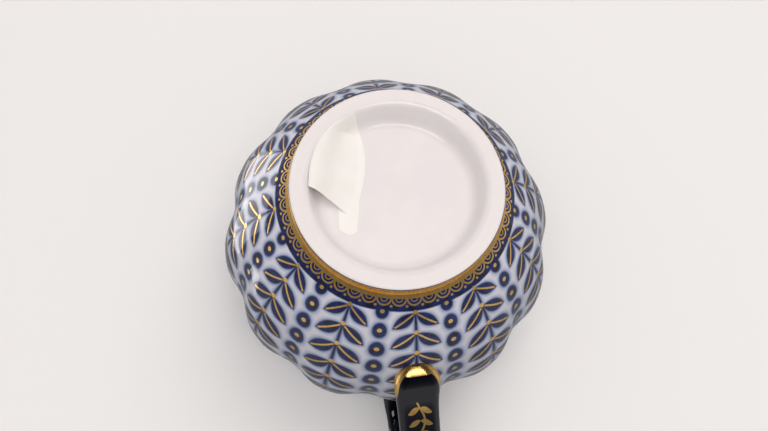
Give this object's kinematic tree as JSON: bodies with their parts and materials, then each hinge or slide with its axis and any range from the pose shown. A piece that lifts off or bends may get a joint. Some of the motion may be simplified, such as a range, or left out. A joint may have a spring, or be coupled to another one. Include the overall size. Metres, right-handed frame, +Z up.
{
  "type": "porcelain teapot",
  "caption": "Round fluted porcelain teapot on a ring foot, with a curved spout, an ear-shaped strap handle and a lift-off lid with a bud knob.",
  "frame": {"origin": "middle of the foot's rest plane, on the bowl's axis", "axes": "+Z up along the bowl's axis, +X towards the spout, -X towards the handle"},
  "size_m": [0.1847, 0.124, 0.135],
  "materials": {
    "white_porcelain": "clear glaze over white porcelain, cobalt and gold decoration",
    "cobalt_porcelain": "clear glaze over deep cobalt, gold lines",
    "label_paper": "matt coated paper"
  },
  "bodies": {
    "pot": {"body_shell": "white_porcelain", "foot_ring": "white_porcelain", "mouth_collar": "white_porcelain", "spout": "cobalt_porcelain", "handle": "cobalt_porcelain", "paper_label": "label_paper"},
    "lid": {"lid_dome": "white_porcelain", "lid_flange": "white_porcelain", "lid_knob": "cobalt_porcelain"}
  },
  "joints": [
    {"name": "lid_lift", "type": "slide", "parent": "pot", "child": "lid", "axis": [0, 0, 1], "range_m": [0, 0.06]}
  ]
}
